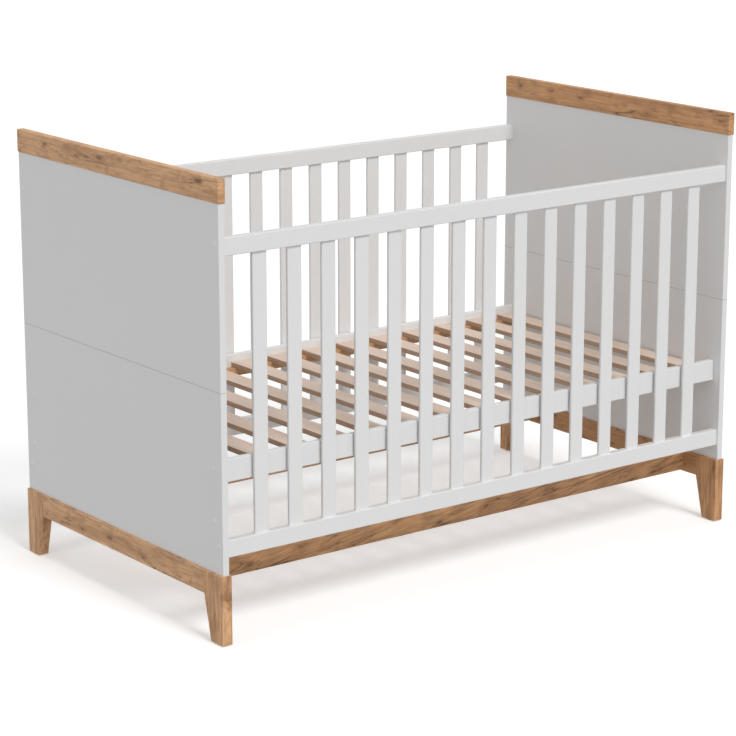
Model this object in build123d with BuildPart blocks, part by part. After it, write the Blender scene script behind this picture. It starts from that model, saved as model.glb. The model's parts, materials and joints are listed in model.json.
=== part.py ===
from build123d import *
import os

# A baby crib for a mattress of 700 by 1400 mm. Two white end walls stand on frames of tapered oak legs.
# Two barred sides and two low stretchers join the ends, and a slatted base hangs on bolts between them.
# +X runs along the bed, -Y is the front and +Z is up. The origin is on the floor, under the bed's middle.

os.makedirs("parts", exist_ok=True)

# End walls: at each end two boards, one above the other
bed_length = 1440.0  # over the outer faces of the end boards
panel_thickness = 15.0
panel_width = 796.0
panel_height = 392.0  # of one board
panel_edge = 0.6  # chamfer round a board, which makes the joint between two boards a fine line

# Oak strip on top of each end wall
strip_overhang = 2.0  # past each edge of the end wall
strip_height = 51.0
strip_thickness = 18.0
strip_edge = 1.0

# Oak frame under each end wall: two tapered legs and an apron between them
leg_height = 154.0  # from the floor to the underside of the end wall
leg_overhang = 2.0  # of a leg's outer edge past the edge of the end wall
leg_thickness = 25.0
leg_width = 68.0
foot_width = 44.0
apron_height = 52.0
frame_edge = 0.8

# Low oak stretchers from apron to apron
stretcher_thickness = 16.0
stretcher_setback = 110.0  # from the outer edge of the legs to the stretcher's outer face
stretcher_rise = 5.0  # from the apron's underside to the stretcher's underside

# Barred sides
rail_thickness = 19.0
rail_setback = 5.5  # from the edge of the end wall to the rail's outer face
top_rail_height = 38.0
top_rail_drop = 72.0  # from the oak strip's underside to the top of the rail
bottom_rail_height = 38.0
bottom_rail_rise = 36.0  # from the end wall's underside to the underside of the rail
rail_edge = 2.0
bar_count = 15
bar_width = 36.0
bar_thickness = 8.0
bar_edge = 3.0
bar_end_gap = 74.5  # from an end wall to the first bar
tenon_depth = 12.0
tenon_fit = 0.1

# Slatted base, in the setting that the end walls' upper row of bolts gives
base_rise = 193.5  # from the end wall's underside to the underside of the base rails
base_end_gap = 1.0
base_side_gap = 4.0  # from the bars to the base rails
base_rail_height = 48.5
base_rail_thickness = 16.0
base_rail_edge = 1.5
ledger_depth = 20.0
ledger_height = 18.0
ledger_end_gap = 4.0
slat_count = 14
slat_width = 50.0
slat_thickness = 12.0
slat_edge = 1.5
slat_drop = 17.0  # from the top of the base rails to the top of the slats
slat_end_margin = 4.5  # from the end of a base rail to the first slat
slat_fit = 0.5

# Bolts and their cover caps
bolt_diameter = 6.0
bolt_head_diameter = 12.0
bolt_head_height = 3.5
bolt_socket = 4.0
bolt_socket_depth = 2.0
bore_fit = 0.15  # round the shank of a bolt
head_fit = 0.25  # round the head of a bolt
cap_diameter = 14.0
cap_height = 2.4
cap_spigot = 1.2
cap_spigot_gap = 0.3
rail_bolt_drop = 13.0  # from the top of a rail to its bolt
barrel_nut_diameter = 10.0
barrel_nut_length = 14.0
barrel_nut_inset = 32.0
bolt_overrun = 3.0  # from the barrel nut to the end of the bolt
bore_end = 2.0  # depth of a bore past the end of its bolt
base_bolt_drop = 16.0  # from the top of a base rail to the bolt that it hangs on
base_bolt_reach = 30.0  # from the end wall's inner face
base_step = 112.0  # from the upper row of base bolts down to the lower holes
blind_skin = 2.0  # wall left at the end of the lower holes
sleeve_wall = 1.4
sleeve_fit = 0.1
seat_fit = 0.3  # round a base bolt in the slot that hangs on it

# Dowels, screws and glides
dowel_diameter = 8.0
dowel_length = 30.0
dowel_edge = 0.8
dowel_fit = 0.1
dowel_end = 0.5
dowel_skin = 5.0  # wall left behind a rail's dowel in the end wall
rail_dowel_rise = 10.0  # from the underside of a rail to its dowel
board_dowel_spread = 280.0
apron_dowel_spread = 120.0
frame_dowel_inset = 13.0  # from the edges of an apron to the dowels in its ends
screw_diameter = 4.0
screw_head_diameter = 8.0
ledger_screw_length = 30.0
slat_screw_length = 25.0
screw_tip = 4.0
screw_fit = 0.1
screw_end = 0.5
glide_diameter = 20.0
glide_height = 2.0
glide_pin_diameter = 3.0
glide_pin_length = 10.0

# Places that several pieces share
outer_x = bed_length / 2
inner_x = outer_x - panel_thickness
wall_x = outer_x - panel_thickness / 2
strip_length = panel_width + 2 * strip_overhang
leg_span = panel_width + 2 * leg_overhang  # over the outer edges of a pair of legs
frame_x = wall_x - leg_thickness / 2
seam_z = leg_height + panel_height
strip_z = seam_z + panel_height
apron_z = leg_height - apron_height
leg_y = leg_span / 2 - leg_width / 2
apron_end_y = leg_span / 2 - leg_width
stretcher_y = leg_span / 2 - stretcher_setback - stretcher_thickness / 2
rail_y = panel_width / 2 - rail_setback - rail_thickness / 2
rail_length = 2 * inner_x
top_rail_z = strip_z - top_rail_drop - top_rail_height
bottom_rail_z = leg_height + bottom_rail_rise
bar_z = bottom_rail_z + bottom_rail_height - tenon_depth
bar_length = top_rail_z + tenon_depth - bar_z
bar_pitch = (rail_length - 2 * bar_end_gap - bar_width) / (bar_count - 1)
bar_xs = [(i - (bar_count - 1) / 2) * bar_pitch for i in range(bar_count)]
base_z = leg_height + base_rise
base_top = base_z + base_rail_height
base_length = rail_length - 2 * base_end_gap
base_rail_y = rail_y - bar_thickness / 2 - base_side_gap - base_rail_thickness / 2
base_inner_y = base_rail_y - base_rail_thickness / 2
slat_z = base_top - slat_drop - slat_thickness
slat_length = 2 * (base_inner_y - slat_fit)
slat_pitch = (base_length - 2 * slat_end_margin - slat_width) / (slat_count - 1)
slat_xs = [(i - (slat_count - 1) / 2) * slat_pitch for i in range(slat_count)]
ledger_y = base_inner_y - ledger_depth / 2
ledger_z = slat_z - ledger_height
ledger_screw_xs = [(i - slat_count / 2 + 1) * slat_pitch for i in range(0, slat_count - 1, 2)]
ledger_screw_z = ledger_z + ledger_height / 2
counterbore_depth = bolt_head_height + cap_spigot + cap_spigot_gap
top_bolt_z = top_rail_z + top_rail_height - rail_bolt_drop
bottom_bolt_z = bottom_rail_z + bottom_rail_height - rail_bolt_drop
base_bolt_z = base_top - base_bolt_drop
spare_hole_z = base_bolt_z - base_step
bolt_grip = panel_thickness - counterbore_depth
rail_bolt_reach = barrel_nut_inset + barrel_nut_diameter / 2 + bolt_overrun
sleeve_radius = bolt_diameter / 2 + bore_fit + sleeve_wall
nut_x = inner_x - barrel_nut_inset
mortise_width = bar_width + 2 * tenon_fit
mortise_thickness = bar_thickness + 2 * tenon_fit
dowel_grip = panel_thickness - dowel_skin
frame_dowel_zs = (apron_z + frame_dowel_inset, leg_height - frame_dowel_inset)
glide_y = leg_span / 2 - foot_width / 2

ends = ((-1, "left"), (1, "right"))
faces = ((-1, "front"), (1, "rear"))
corners = [(end, face) for end, _ in ends for face, _ in faces]
rail_levels = (("top", top_rail_z, top_rail_height), ("bottom", bottom_rail_z, bottom_rail_height))
rail_bolt_zs = (top_bolt_z, bottom_bolt_z)
rail_dowel_zs = (top_rail_z + rail_dowel_rise, bottom_rail_z + rail_dowel_rise)


def outside(end, y, z):
    """A plane on the outer face of an end wall, looking out."""
    return Plane(origin=(end * outer_x, y, z), x_dir=(0, 1, 0), z_dir=(end, 0, 0))


def inside(end, y, z, x=inner_x):
    """A plane at an end, at a distance x from the bed's middle, looking into the bed."""
    return Plane(origin=(end * x, y, z), x_dir=(0, 1, 0), z_dir=(-end, 0, 0))


def upright(end, y, z, way=1):
    """A plane in the middle of an end wall's thickness, looking up, or down where way is -1."""
    return Plane(origin=(end * wall_x, y, z), z_dir=(0, 0, way))


def sideways(end, y, z, way):
    """A plane in the middle of an end wall's thickness, looking rearwards, or forwards where way is -1."""
    return Plane(origin=(end * wall_x, y, z), z_dir=(0, way, 0))


def save(piece, node):
    """Label a finished piece and write it."""
    piece.part.label = node
    export_step(piece.part, f"parts/{node}.step")


dowel_radius = dowel_diameter / 2 + dowel_fit
half_dowel = dowel_length / 2 + dowel_end
bolt_bore = bolt_diameter / 2 + bore_fit
head_bore = bolt_head_diameter / 2 + head_fit
board_dowel_ys = (-board_dowel_spread, 0, board_dowel_spread)
foot_dowel_ys = (-leg_y, -apron_dowel_spread, apron_dowel_spread, leg_y)

# End walls. The rails' bolts go through them from outside and their dowels stop inside them.
for end, end_name in ends:
    rail_bolt_planes = [outside(end, f * rail_y, z) for f, _ in faces for z in rail_bolt_zs]
    rail_dowel_planes = [inside(end, f * rail_y, z) for f, _ in faces for z in rail_dowel_zs]
    for level, board_z, low_ys, high_ys in (
        ("lower", leg_height, foot_dowel_ys, board_dowel_ys),
        ("upper", seam_z, board_dowel_ys, board_dowel_ys),
    ):
        with BuildPart() as board:
            with BuildSketch(Plane.XY.offset(board_z)):
                with Locations((end * wall_x, 0)):
                    Rectangle(panel_thickness, panel_width)
            extrude(amount=panel_height)
            chamfer(board.edges(), panel_edge)
            with Locations(*rail_bolt_planes):
                CounterBoreHole(bolt_bore, head_bore, counterbore_depth)
            with Locations(*[outside(end, f * base_rail_y, base_bolt_z) for f, _ in faces]):
                CounterBoreHole(sleeve_radius + sleeve_fit, head_bore, counterbore_depth)
            with Locations(*[outside(end, f * base_rail_y, spare_hole_z) for f, _ in faces]):
                CounterBoreHole(
                    sleeve_radius + sleeve_fit,
                    head_bore,
                    counterbore_depth,
                    depth=panel_thickness - blind_skin,
                )
            with Locations(*rail_dowel_planes):
                Hole(dowel_radius, depth=dowel_grip + dowel_end)
            with Locations(*[upright(end, y, board_z, -1) for y in low_ys]):
                Hole(dowel_radius, depth=half_dowel)
            with Locations(*[upright(end, y, board_z + panel_height) for y in high_ys]):
                Hole(dowel_radius, depth=half_dowel)
        save(board, f"{end_name}_{level}_panel")

# Oak strips on top of the end walls
for end, end_name in ends:
    with BuildPart() as strip:
        with BuildSketch(Plane.XY.offset(strip_z)):
            with Locations((end * wall_x, 0)):
                Rectangle(strip_thickness, strip_length)
        extrude(amount=strip_height)
        chamfer(strip.edges(), strip_edge)
        with Locations(*[upright(end, y, strip_z, -1) for y in board_dowel_ys]):
            Hole(dowel_radius, depth=half_dowel)
    save(strip, f"{end_name}_top_strip")

# Legs: the outer edge is upright, and the inner edge tapers below the apron
for end, end_name in ends:
    for face, face_name in faces:
        leg_out = face * leg_span / 2
        leg_in = face * apron_end_y
        foot_in = face * (leg_span / 2 - foot_width)
        with BuildPart() as leg:
            with BuildSketch(Plane.YZ.offset(end * wall_x)):
                with BuildLine():
                    Polyline(
                        (leg_out, glide_height),
                        (foot_in, glide_height),
                        (leg_in, apron_z),
                        (leg_in, leg_height),
                        (leg_out, leg_height),
                        close=True,
                    )
                make_face()
            extrude(amount=leg_thickness / 2, both=True)
            chamfer(leg.edges(), frame_edge)
            with Locations(upright(end, face * leg_y, leg_height)):
                Hole(dowel_radius, depth=half_dowel)
            with Locations(*[sideways(end, leg_in, z, -face) for z in frame_dowel_zs]):
                Hole(dowel_radius, depth=half_dowel)
            with Locations(upright(end, face * glide_y, glide_height, -1)):
                Hole(glide_pin_diameter / 2 + dowel_fit, depth=glide_pin_length + dowel_end)
        save(leg, f"{end_name}_{face_name}_leg")

# Aprons between the legs
for end, end_name in ends:
    with BuildPart() as apron:
        with BuildSketch(Plane.XY.offset(apron_z)):
            with Locations((end * wall_x, 0)):
                Rectangle(leg_thickness, 2 * apron_end_y)
        extrude(amount=apron_height)
        chamfer(apron.edges(), frame_edge)
        with Locations(*[upright(end, y, leg_height) for y in foot_dowel_ys[1:3]]):
            Hole(dowel_radius, depth=half_dowel)
        for face, _ in faces:
            with Locations(*[sideways(end, face * apron_end_y, z, face) for z in frame_dowel_zs]):
                Hole(dowel_radius, depth=half_dowel)
            with Locations(*[inside(end, face * stretcher_y, z, frame_x) for z in frame_dowel_zs]):
                Hole(dowel_radius, depth=half_dowel)
    save(apron, f"{end_name}_apron")

# Stretchers under the bed
for face, face_name in faces:
    with BuildPart() as stretcher:
        with BuildSketch(Plane.XY.offset(apron_z + stretcher_rise)):
            with Locations((0, face * stretcher_y)):
                Rectangle(2 * frame_x, stretcher_thickness)
        extrude(amount=apron_height - stretcher_rise)
        chamfer(stretcher.edges(), frame_edge)
        for end, _ in ends:
            with Locations(*[inside(-end, face * stretcher_y, z, -frame_x) for z in frame_dowel_zs]):
                Hole(dowel_radius, depth=half_dowel)
    save(stretcher, f"{face_name}_stretcher")

# Rails of the barred sides, with a mortise for each bar and the bores for their bolts, nuts and dowels
for face, face_name in faces:
    for level, rail_z, rail_height in rail_levels:
        mortise_z = rail_z if level == "top" else rail_z + rail_height - tenon_depth
        rail_bolt_z = rail_z + rail_height - rail_bolt_drop
        nut_planes = [Plane((e * nut_x, face * rail_y, rail_z), z_dir=(0, 0, -1)) for e, _ in ends]
        with BuildPart() as rail:
            with BuildSketch(Plane.XY.offset(rail_z)):
                with Locations((0, face * rail_y)):
                    Rectangle(rail_length, rail_thickness)
            extrude(amount=rail_height)
            fillet(rail.edges().filter_by(Axis.X), rail_edge)
            with BuildSketch(Plane.XY.offset(mortise_z)):
                with Locations(*[(x, face * rail_y) for x in bar_xs]):
                    RectangleRounded(mortise_width, mortise_thickness, bar_edge + tenon_fit)
            extrude(amount=tenon_depth, mode=Mode.SUBTRACT)
            with Locations(*nut_planes):
                Hole(
                    barrel_nut_diameter / 2 + bore_fit,
                    depth=rail_bolt_z - rail_z + barrel_nut_length / 2 + dowel_end,
                )
            for end, _ in ends:
                with Locations(inside(-end, face * rail_y, rail_bolt_z, -inner_x)):
                    Hole(bolt_bore, depth=rail_bolt_reach + bore_end)
                with Locations(inside(-end, face * rail_y, rail_z + rail_dowel_rise, -inner_x)):
                    Hole(dowel_radius, depth=dowel_length - dowel_grip + dowel_end)
        save(rail, f"{face_name}_{level}_rail")

# Bars, whose ends sit in the rails' mortises
for i, x in enumerate(bar_xs):
    with BuildPart() as front_bar:
        with BuildSketch(Plane.XY.offset(bar_z)):
            with Locations((x, -rail_y)):
                RectangleRounded(bar_width, bar_thickness, bar_edge)
        extrude(amount=bar_length)
    save(front_bar, f"front_bar_{i + 1:02d}")

with BuildPart() as rear_bars:
    with BuildSketch(Plane.XY.offset(bar_z)):
        with Locations(*[(x, rail_y) for x in bar_xs]):
            RectangleRounded(bar_width, bar_thickness, bar_edge)
    extrude(amount=bar_length)
save(rear_bars, "rear_bars")

# Base rails. A slot in each end, open below, hangs on a bolt of the end wall.
slot_radius = bolt_diameter / 2 + seat_fit
slot_depth = base_bolt_reach - base_end_gap + bore_end
for face, face_name in faces:
    with BuildPart() as base_rail:
        with BuildSketch(Plane.XY.offset(base_z)):
            with Locations((0, face * base_rail_y)):
                Rectangle(base_length, base_rail_thickness)
        extrude(amount=base_rail_height)
        fillet(base_rail.edges().filter_by(Axis.X), base_rail_edge)
        for end, _ in ends:
            with BuildSketch(inside(end, face * base_rail_y, base_bolt_z, base_length / 2)):
                Circle(slot_radius)
                with Locations((0, -end * (base_z - base_bolt_z) / 2)):
                    Rectangle(2 * slot_radius, base_bolt_z - base_z)
            extrude(amount=slot_depth, mode=Mode.SUBTRACT)
        with Locations(
            *[Plane((x, face * base_inner_y, ledger_screw_z), z_dir=(0, -face, 0)) for x in ledger_screw_xs]
        ):
            Hole(screw_diameter / 2 + screw_fit, depth=ledger_screw_length - ledger_depth + screw_end)
    save(base_rail, f"{face_name}_base_rail")

# Ledgers, screwed to the inner faces of the base rails, which carry the slats
for face, face_name in faces:
    with BuildPart() as ledger:
        with BuildSketch(Plane.XY.offset(ledger_z)):
            with Locations((0, face * ledger_y)):
                Rectangle(base_length - 2 * ledger_end_gap, ledger_depth)
        extrude(amount=ledger_height)
        with Locations(
            *[
                Plane((x, face * (base_inner_y - ledger_depth), ledger_screw_z), z_dir=(0, -face, 0))
                for x in ledger_screw_xs
            ]
        ):
            CounterSinkHole(
                screw_diameter / 2 + screw_fit, screw_head_diameter / 2 + screw_fit, counter_sink_angle=90
            )
        with Locations(*[Plane((x, face * ledger_y, ledger_z), z_dir=(0, 0, -1)) for x in slat_xs]):
            CounterSinkHole(
                screw_diameter / 2 + screw_fit, screw_head_diameter / 2 + screw_fit, counter_sink_angle=90
            )
    save(ledger, f"{face_name}_ledger")

# Slats across the base
for i, x in enumerate(slat_xs):
    with BuildPart() as slat:
        with BuildSketch(Plane.XY.offset(slat_z)):
            with Locations((x, 0)):
                Rectangle(slat_width, slat_length)
        extrude(amount=slat_thickness)
        fillet(slat.edges().filter_by(Axis.Y), slat_edge)
        with Locations(*[Plane((x, f * ledger_y, slat_z), z_dir=(0, 0, -1)) for f, _ in faces]):
            Hole(screw_diameter / 2 + screw_fit, depth=slat_screw_length - ledger_height + screw_end)
    save(slat, f"slat_{i + 1:02d}")

# Bolts that draw the rails to the end walls, modelled with the end wall's outer face at height zero
with BuildPart() as rail_bolt:
    with BuildSketch(Plane.XY.offset(-counterbore_depth)):
        Circle(bolt_head_diameter / 2)
    extrude(amount=bolt_head_height)
    fillet(rail_bolt.edges().group_by(Axis.Z)[-1], 0.8)
    with BuildSketch(Plane.XY.offset(bolt_head_height - counterbore_depth)):
        RegularPolygon(bolt_socket / 2, 6, major_radius=False)
    extrude(amount=-bolt_socket_depth, mode=Mode.SUBTRACT)
    with BuildSketch(Plane.XY.offset(-counterbore_depth)):
        Circle(bolt_diameter / 2)
    extrude(amount=-(bolt_grip + rail_bolt_reach))
    chamfer(rail_bolt.edges().group_by(Axis.Z)[0], 0.6)

with BuildPart() as rail_bolts:
    with Locations(*[outside(e, f * rail_y, z) for e, f in corners for z in rail_bolt_zs]):
        add(rail_bolt.part)
save(rail_bolts, "rail_bolts")

# Barrel nuts, which lie across the rails' bolts
with BuildPart() as barrel_nut:
    with BuildSketch():
        Circle(barrel_nut_diameter / 2)
    extrude(amount=barrel_nut_length / 2, both=True)
    with Locations(Plane.YZ.offset(barrel_nut_diameter)):
        Hole(bolt_bore)

with BuildPart() as barrel_nuts:
    with Locations(*[(e * nut_x, f * rail_y, z) for e, f in corners for z in rail_bolt_zs]):
        add(barrel_nut.part)
save(barrel_nuts, "barrel_nuts")

# Bolts that the base hangs on, held by threaded sleeves in the end walls
with BuildPart() as base_bolt:
    with BuildSketch(Plane.XY.offset(-counterbore_depth)):
        Circle(bolt_head_diameter / 2)
    extrude(amount=bolt_head_height)
    fillet(base_bolt.edges().group_by(Axis.Z)[-1], 0.8)
    with BuildSketch(Plane.XY.offset(bolt_head_height - counterbore_depth)):
        RegularPolygon(bolt_socket / 2, 6, major_radius=False)
    extrude(amount=-bolt_socket_depth, mode=Mode.SUBTRACT)
    with BuildSketch(Plane.XY.offset(-counterbore_depth)):
        Circle(bolt_diameter / 2)
    extrude(amount=-(bolt_grip + base_bolt_reach))
    chamfer(base_bolt.edges().group_by(Axis.Z)[0], 0.6)

with BuildPart() as base_bolts:
    with Locations(*[outside(e, f * base_rail_y, base_bolt_z) for e, f in corners]):
        add(base_bolt.part)
save(base_bolts, "base_bolts")

with BuildPart() as base_sleeve:
    with BuildSketch(Plane.XY.offset(-panel_thickness)):
        Circle(sleeve_radius)
        Circle(bolt_bore, mode=Mode.SUBTRACT)
    extrude(amount=bolt_grip)

with BuildPart() as base_sleeves:
    with Locations(*[outside(e, f * base_rail_y, base_bolt_z) for e, f in corners]):
        add(base_sleeve.part)
save(base_sleeves, "base_sleeves")

# Cover caps over the bolts and over the lower holes of the base
with BuildPart() as bolt_cap:
    with BuildSketch(Plane.XZ):
        with BuildLine():
            Polyline(
                (0, cap_height),
                (0, -cap_spigot),
                (bolt_head_diameter / 2, -cap_spigot),
                (bolt_head_diameter / 2, 0),
                (cap_diameter / 2, 0),
            )
            RadiusArc(
                (cap_diameter / 2, 0),
                (0, cap_height),
                -((cap_diameter / 2) ** 2 + cap_height**2) / (2 * cap_height),
            )
        make_face()
    revolve(axis=Axis.Z)

with BuildPart() as bolt_caps:
    with Locations(
        *[outside(e, f * rail_y, z) for e, f in corners for z in rail_bolt_zs],
        *[outside(e, f * base_rail_y, z) for e, f in corners for z in (base_bolt_z, spare_hole_z)],
    ):
        add(bolt_cap.part)
save(bolt_caps, "bolt_caps")

# Beech dowels, each half in one piece and half in the next, except where an end wall is too thin for half
with BuildPart() as wood_dowel:
    with BuildSketch():
        Circle(dowel_diameter / 2)
    extrude(amount=dowel_length / 2, both=True)
    chamfer(wood_dowel.edges().filter_by(GeomType.CIRCLE), dowel_edge)

rail_dowel_x = inner_x + dowel_grip - dowel_length / 2
dowel_planes = [inside(e, f * rail_y, z, rail_dowel_x) for e, f in corners for z in rail_dowel_zs]
dowel_planes += [upright(e, y, z) for e, _ in ends for y in board_dowel_ys for z in (seam_z, strip_z)]
dowel_planes += [upright(e, y, leg_height) for e, _ in ends for y in foot_dowel_ys]
dowel_planes += [sideways(e, f * apron_end_y, z, f) for e, f in corners for z in frame_dowel_zs]
dowel_planes += [inside(e, f * stretcher_y, z, frame_x) for e, f in corners for z in frame_dowel_zs]

with BuildPart() as wood_dowels:
    with Locations(*dowel_planes):
        add(wood_dowel.part)
save(wood_dowels, "wood_dowels")

# Countersunk screws of the base: ledger to rail, and slat to ledger from below
screw_head_height = (screw_head_diameter - screw_diameter) / 2


def countersunk_screw(length):
    with BuildPart() as screw:
        with BuildSketch(Plane.XZ):
            with BuildLine():
                Polyline(
                    (0, 0),
                    (screw_head_diameter / 2, 0),
                    (screw_diameter / 2, -screw_head_height),
                    (screw_diameter / 2, screw_tip - length),
                    (0, -length),
                    close=True,
                )
            make_face()
        revolve(axis=Axis.Z)
    return screw.part


ledger_screw_planes = [
    Plane((x, f * (base_inner_y - ledger_depth), ledger_screw_z), z_dir=(0, -f, 0))
    for f, _ in faces
    for x in ledger_screw_xs
]
slat_screw_planes = [Plane((x, f * ledger_y, ledger_z), z_dir=(0, 0, -1)) for f, _ in faces for x in slat_xs]

with BuildPart() as base_screws:
    with Locations(*ledger_screw_planes):
        add(countersunk_screw(ledger_screw_length))
    with Locations(*slat_screw_planes):
        add(countersunk_screw(slat_screw_length))
save(base_screws, "base_screws")

# Glides under the legs, each with a pin in the end grain
with BuildPart() as foot_glide:
    with BuildSketch():
        Circle(glide_diameter / 2)
    extrude(amount=glide_height)
    fillet(foot_glide.edges().group_by(Axis.Z)[0], 0.6)
    with BuildSketch(Plane.XY.offset(glide_height)):
        Circle(glide_pin_diameter / 2)
    extrude(amount=glide_pin_length)

with BuildPart() as foot_glides:
    with Locations(*[(e * wall_x, f * glide_y, 0) for e, f in corners]):
        add(foot_glide.part)
save(foot_glides, "foot_glides")
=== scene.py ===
# %% [markdown]
# # A baby crib, dressed
# The crib has two white end walls on oak legs, two barred sides, and a slatted base between them.
# Its boards, bars, slats and fasteners come in as finished solids, at their real size and place, in
# metres. This lesson adds what a solid can't hold: the finish of each material, two sets of small
# turned pieces, the studio and the camera.

import json

import bmesh
import bpy
import numpy as np
from mathutils import Euler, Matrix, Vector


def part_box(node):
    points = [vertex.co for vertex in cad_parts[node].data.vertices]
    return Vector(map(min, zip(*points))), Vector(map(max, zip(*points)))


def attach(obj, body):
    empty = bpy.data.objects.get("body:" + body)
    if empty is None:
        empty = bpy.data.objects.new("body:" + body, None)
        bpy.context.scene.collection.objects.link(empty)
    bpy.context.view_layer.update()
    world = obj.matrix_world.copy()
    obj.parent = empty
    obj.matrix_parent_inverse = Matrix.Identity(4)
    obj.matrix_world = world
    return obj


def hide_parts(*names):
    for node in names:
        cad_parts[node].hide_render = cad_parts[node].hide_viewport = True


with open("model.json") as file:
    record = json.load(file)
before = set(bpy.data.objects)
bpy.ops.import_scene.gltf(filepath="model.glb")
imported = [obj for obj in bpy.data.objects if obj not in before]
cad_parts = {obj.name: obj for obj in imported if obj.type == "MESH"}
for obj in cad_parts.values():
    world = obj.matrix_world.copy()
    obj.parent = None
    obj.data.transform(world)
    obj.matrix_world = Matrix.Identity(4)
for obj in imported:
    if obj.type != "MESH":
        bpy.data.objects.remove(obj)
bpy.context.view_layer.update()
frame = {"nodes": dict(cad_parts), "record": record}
nodes = frame["nodes"]

# %% [markdown]
# ## The camera
# The crib is seen from its left front corner, from nearly a metre above its top and about six metres
# away. A long lens keeps its long edges nearly parallel, as in a catalogue picture. A camera can be
# aimed by a constraint, but here its place, turn and tilt are known, so they are simply set. There is
# no lens shift, so that any other view of the crib is centred too.

# %% Camera
EYE = (-3.5598, -4.6351, 1.8980)
TURN = np.radians(-37.197)
TILT = np.radians(14.294)
LENS_MM, SENSOR_MM = 126.73, 36.0
FARTHEST = 200.0

eye = bpy.data.objects.new("camera", bpy.data.cameras.new("camera"))
eye.data.sensor_width = SENSOR_MM
eye.data.lens = LENS_MM
eye.data.clip_end = FARTHEST
eye.location = EYE
eye.rotation_euler = Euler((np.pi / 2 - TILT, 0.0, TURN), "XYZ")
bpy.context.scene.collection.objects.link(eye)
bpy.context.scene.camera = eye
bpy.context.scene.view_settings.view_transform = "Standard"
print("camera at", EYE, "m, lens", LENS_MM, "mm")

# %% [markdown]
# ## Writing materials as node trees
# Every finish here is worked out from the place of a point on the piece, so nothing has to be
# unwrapped. Node trees could be drawn by hand in the editor, but in a script they get long when each
# node takes five lines. So one helper adds a node and gives its sockets values or links by name, and
# a few others wrap the arithmetic that this crib uses most.


# %% Node helpers
def fill(tree, node, sockets):
    """Give each named socket of a node a value, or a link where the value is another socket."""
    for name, value in sockets.items():
        if isinstance(value, bpy.types.NodeSocket):
            tree.links.new(value, node.inputs[name])
        else:
            node.inputs[name].default_value = value


def put(tree, kind, sockets=None, **settings):
    """Add a node, set its properties and fill its sockets."""
    node = tree.nodes.new(kind)
    for name, value in settings.items():
        setattr(node, name, value)
    fill(tree, node, sockets or {})
    return node


def sums(tree, operation, first, second=0.0, clamp=False):
    """One step of arithmetic on two numbers, held between 0 and 1 where clamp is set."""
    sockets = {0: first, 1: second}
    return put(tree, "ShaderNodeMath", sockets, operation=operation, use_clamp=clamp).outputs[0]


def plus(tree, first, second):
    """The first number plus the second."""
    return sums(tree, "ADD", first, second)


def minus(tree, first, second):
    """The first number minus the second."""
    return sums(tree, "SUBTRACT", first, second)


def times(tree, first, second):
    """The first number times the second."""
    return sums(tree, "MULTIPLY", first, second)


def between(tree, value, low, high):
    """A smooth step: 0 at low, 1 at high. With high below low, it falls instead of rising."""
    sockets = {0: value, 1: low, 2: high, 3: 0.0, 4: 1.0}
    return put(tree, "ShaderNodeMapRange", sockets, interpolation_type="SMOOTHSTEP").outputs[0]


def blended(tree, share, first, second, kind="MIX"):
    """Two colours, mixed by a share from 0 to 1."""
    sockets = {0: share, 6: first, 7: second}
    return put(tree, "ShaderNodeMix", sockets, data_type="RGBA", blend_type=kind).outputs[2]


def axes_of(tree, place):
    """The X, Y and Z of a place, as three numbers."""
    return put(tree, "ShaderNodeSeparateXYZ", {0: place}).outputs


print("node helpers ready")

# %% [markdown]
# ## Noise, drawn out along the grain
# Foil, lacquer and wood all get their life from noise. Plain noise has blotches that are as long as
# they are wide, which suits a sprayed coat. Wood needs long, thin marks, and a Wave texture would
# make them too even. So the place is multiplied before the noise reads it: by a small number along
# the board and by large ones across it, which draws each blotch out into a streak.


# %% Noise helpers
def cloudy(tree, place, scale=1.0, detail=2.0, roughness=0.5, distortion=0.0):
    """Smooth noise from 0 to 1, with about as many blotches in a metre as the scale says."""
    sockets = {
        "Vector": place,
        "Scale": scale,
        "Detail": detail,
        "Roughness": roughness,
        "Distortion": distortion,
    }
    return put(tree, "ShaderNodeTexNoise", sockets, noise_dimensions="3D").outputs[0]


def stretched(tree, place, run):
    """The place, multiplied on each axis: a small factor draws a pattern out that way."""
    return put(tree, "ShaderNodeVectorMath", {0: place, 1: run}, operation="MULTIPLY").outputs[0]


def drawn(tree, place, run, **noise):
    """Noise over a stretched place: run is the number of blotches in a metre on each axis."""
    return cloudy(tree, stretched(tree, place, run), **noise)


print("noise helpers ready")

# %% [markdown]
# ## Groups that several materials share
# The boards, rails and caps share one white skin, and five oak materials share one oak. Copying the
# nodes into each material would work, but a change would then have to be made five times. A group is
# built once, with named inputs and outputs. Each one here takes a place on the crib and puts out a
# colour, a height for a bump and a roughness. The shader itself stays in the material.


# %% Group helper
def new_group(name, **inputs):
    """An empty shader group, with a place and the inputs given, a colour for each tuple and a value
    for each number. Returns its tree, its input sockets and its output node."""
    tree = bpy.data.node_groups.new(name, "ShaderNodeTree")
    tree.interface.new_socket("Place", in_out="INPUT", socket_type="NodeSocketVector")
    for label, value in inputs.items():
        kind = "NodeSocketColor" if isinstance(value, tuple) else "NodeSocketFloat"
        tree.interface.new_socket(label, in_out="INPUT", socket_type=kind).default_value = value
    tree.interface.new_socket("Color", in_out="OUTPUT", socket_type="NodeSocketColor")
    tree.interface.new_socket("Height", in_out="OUTPUT", socket_type="NodeSocketFloat")
    tree.interface.new_socket("Roughness", in_out="OUTPUT", socket_type="NodeSocketFloat")
    return tree, tree.nodes.new("NodeGroupInput").outputs, tree.nodes.new("NodeGroupOutput")


print("group helper ready")

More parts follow.
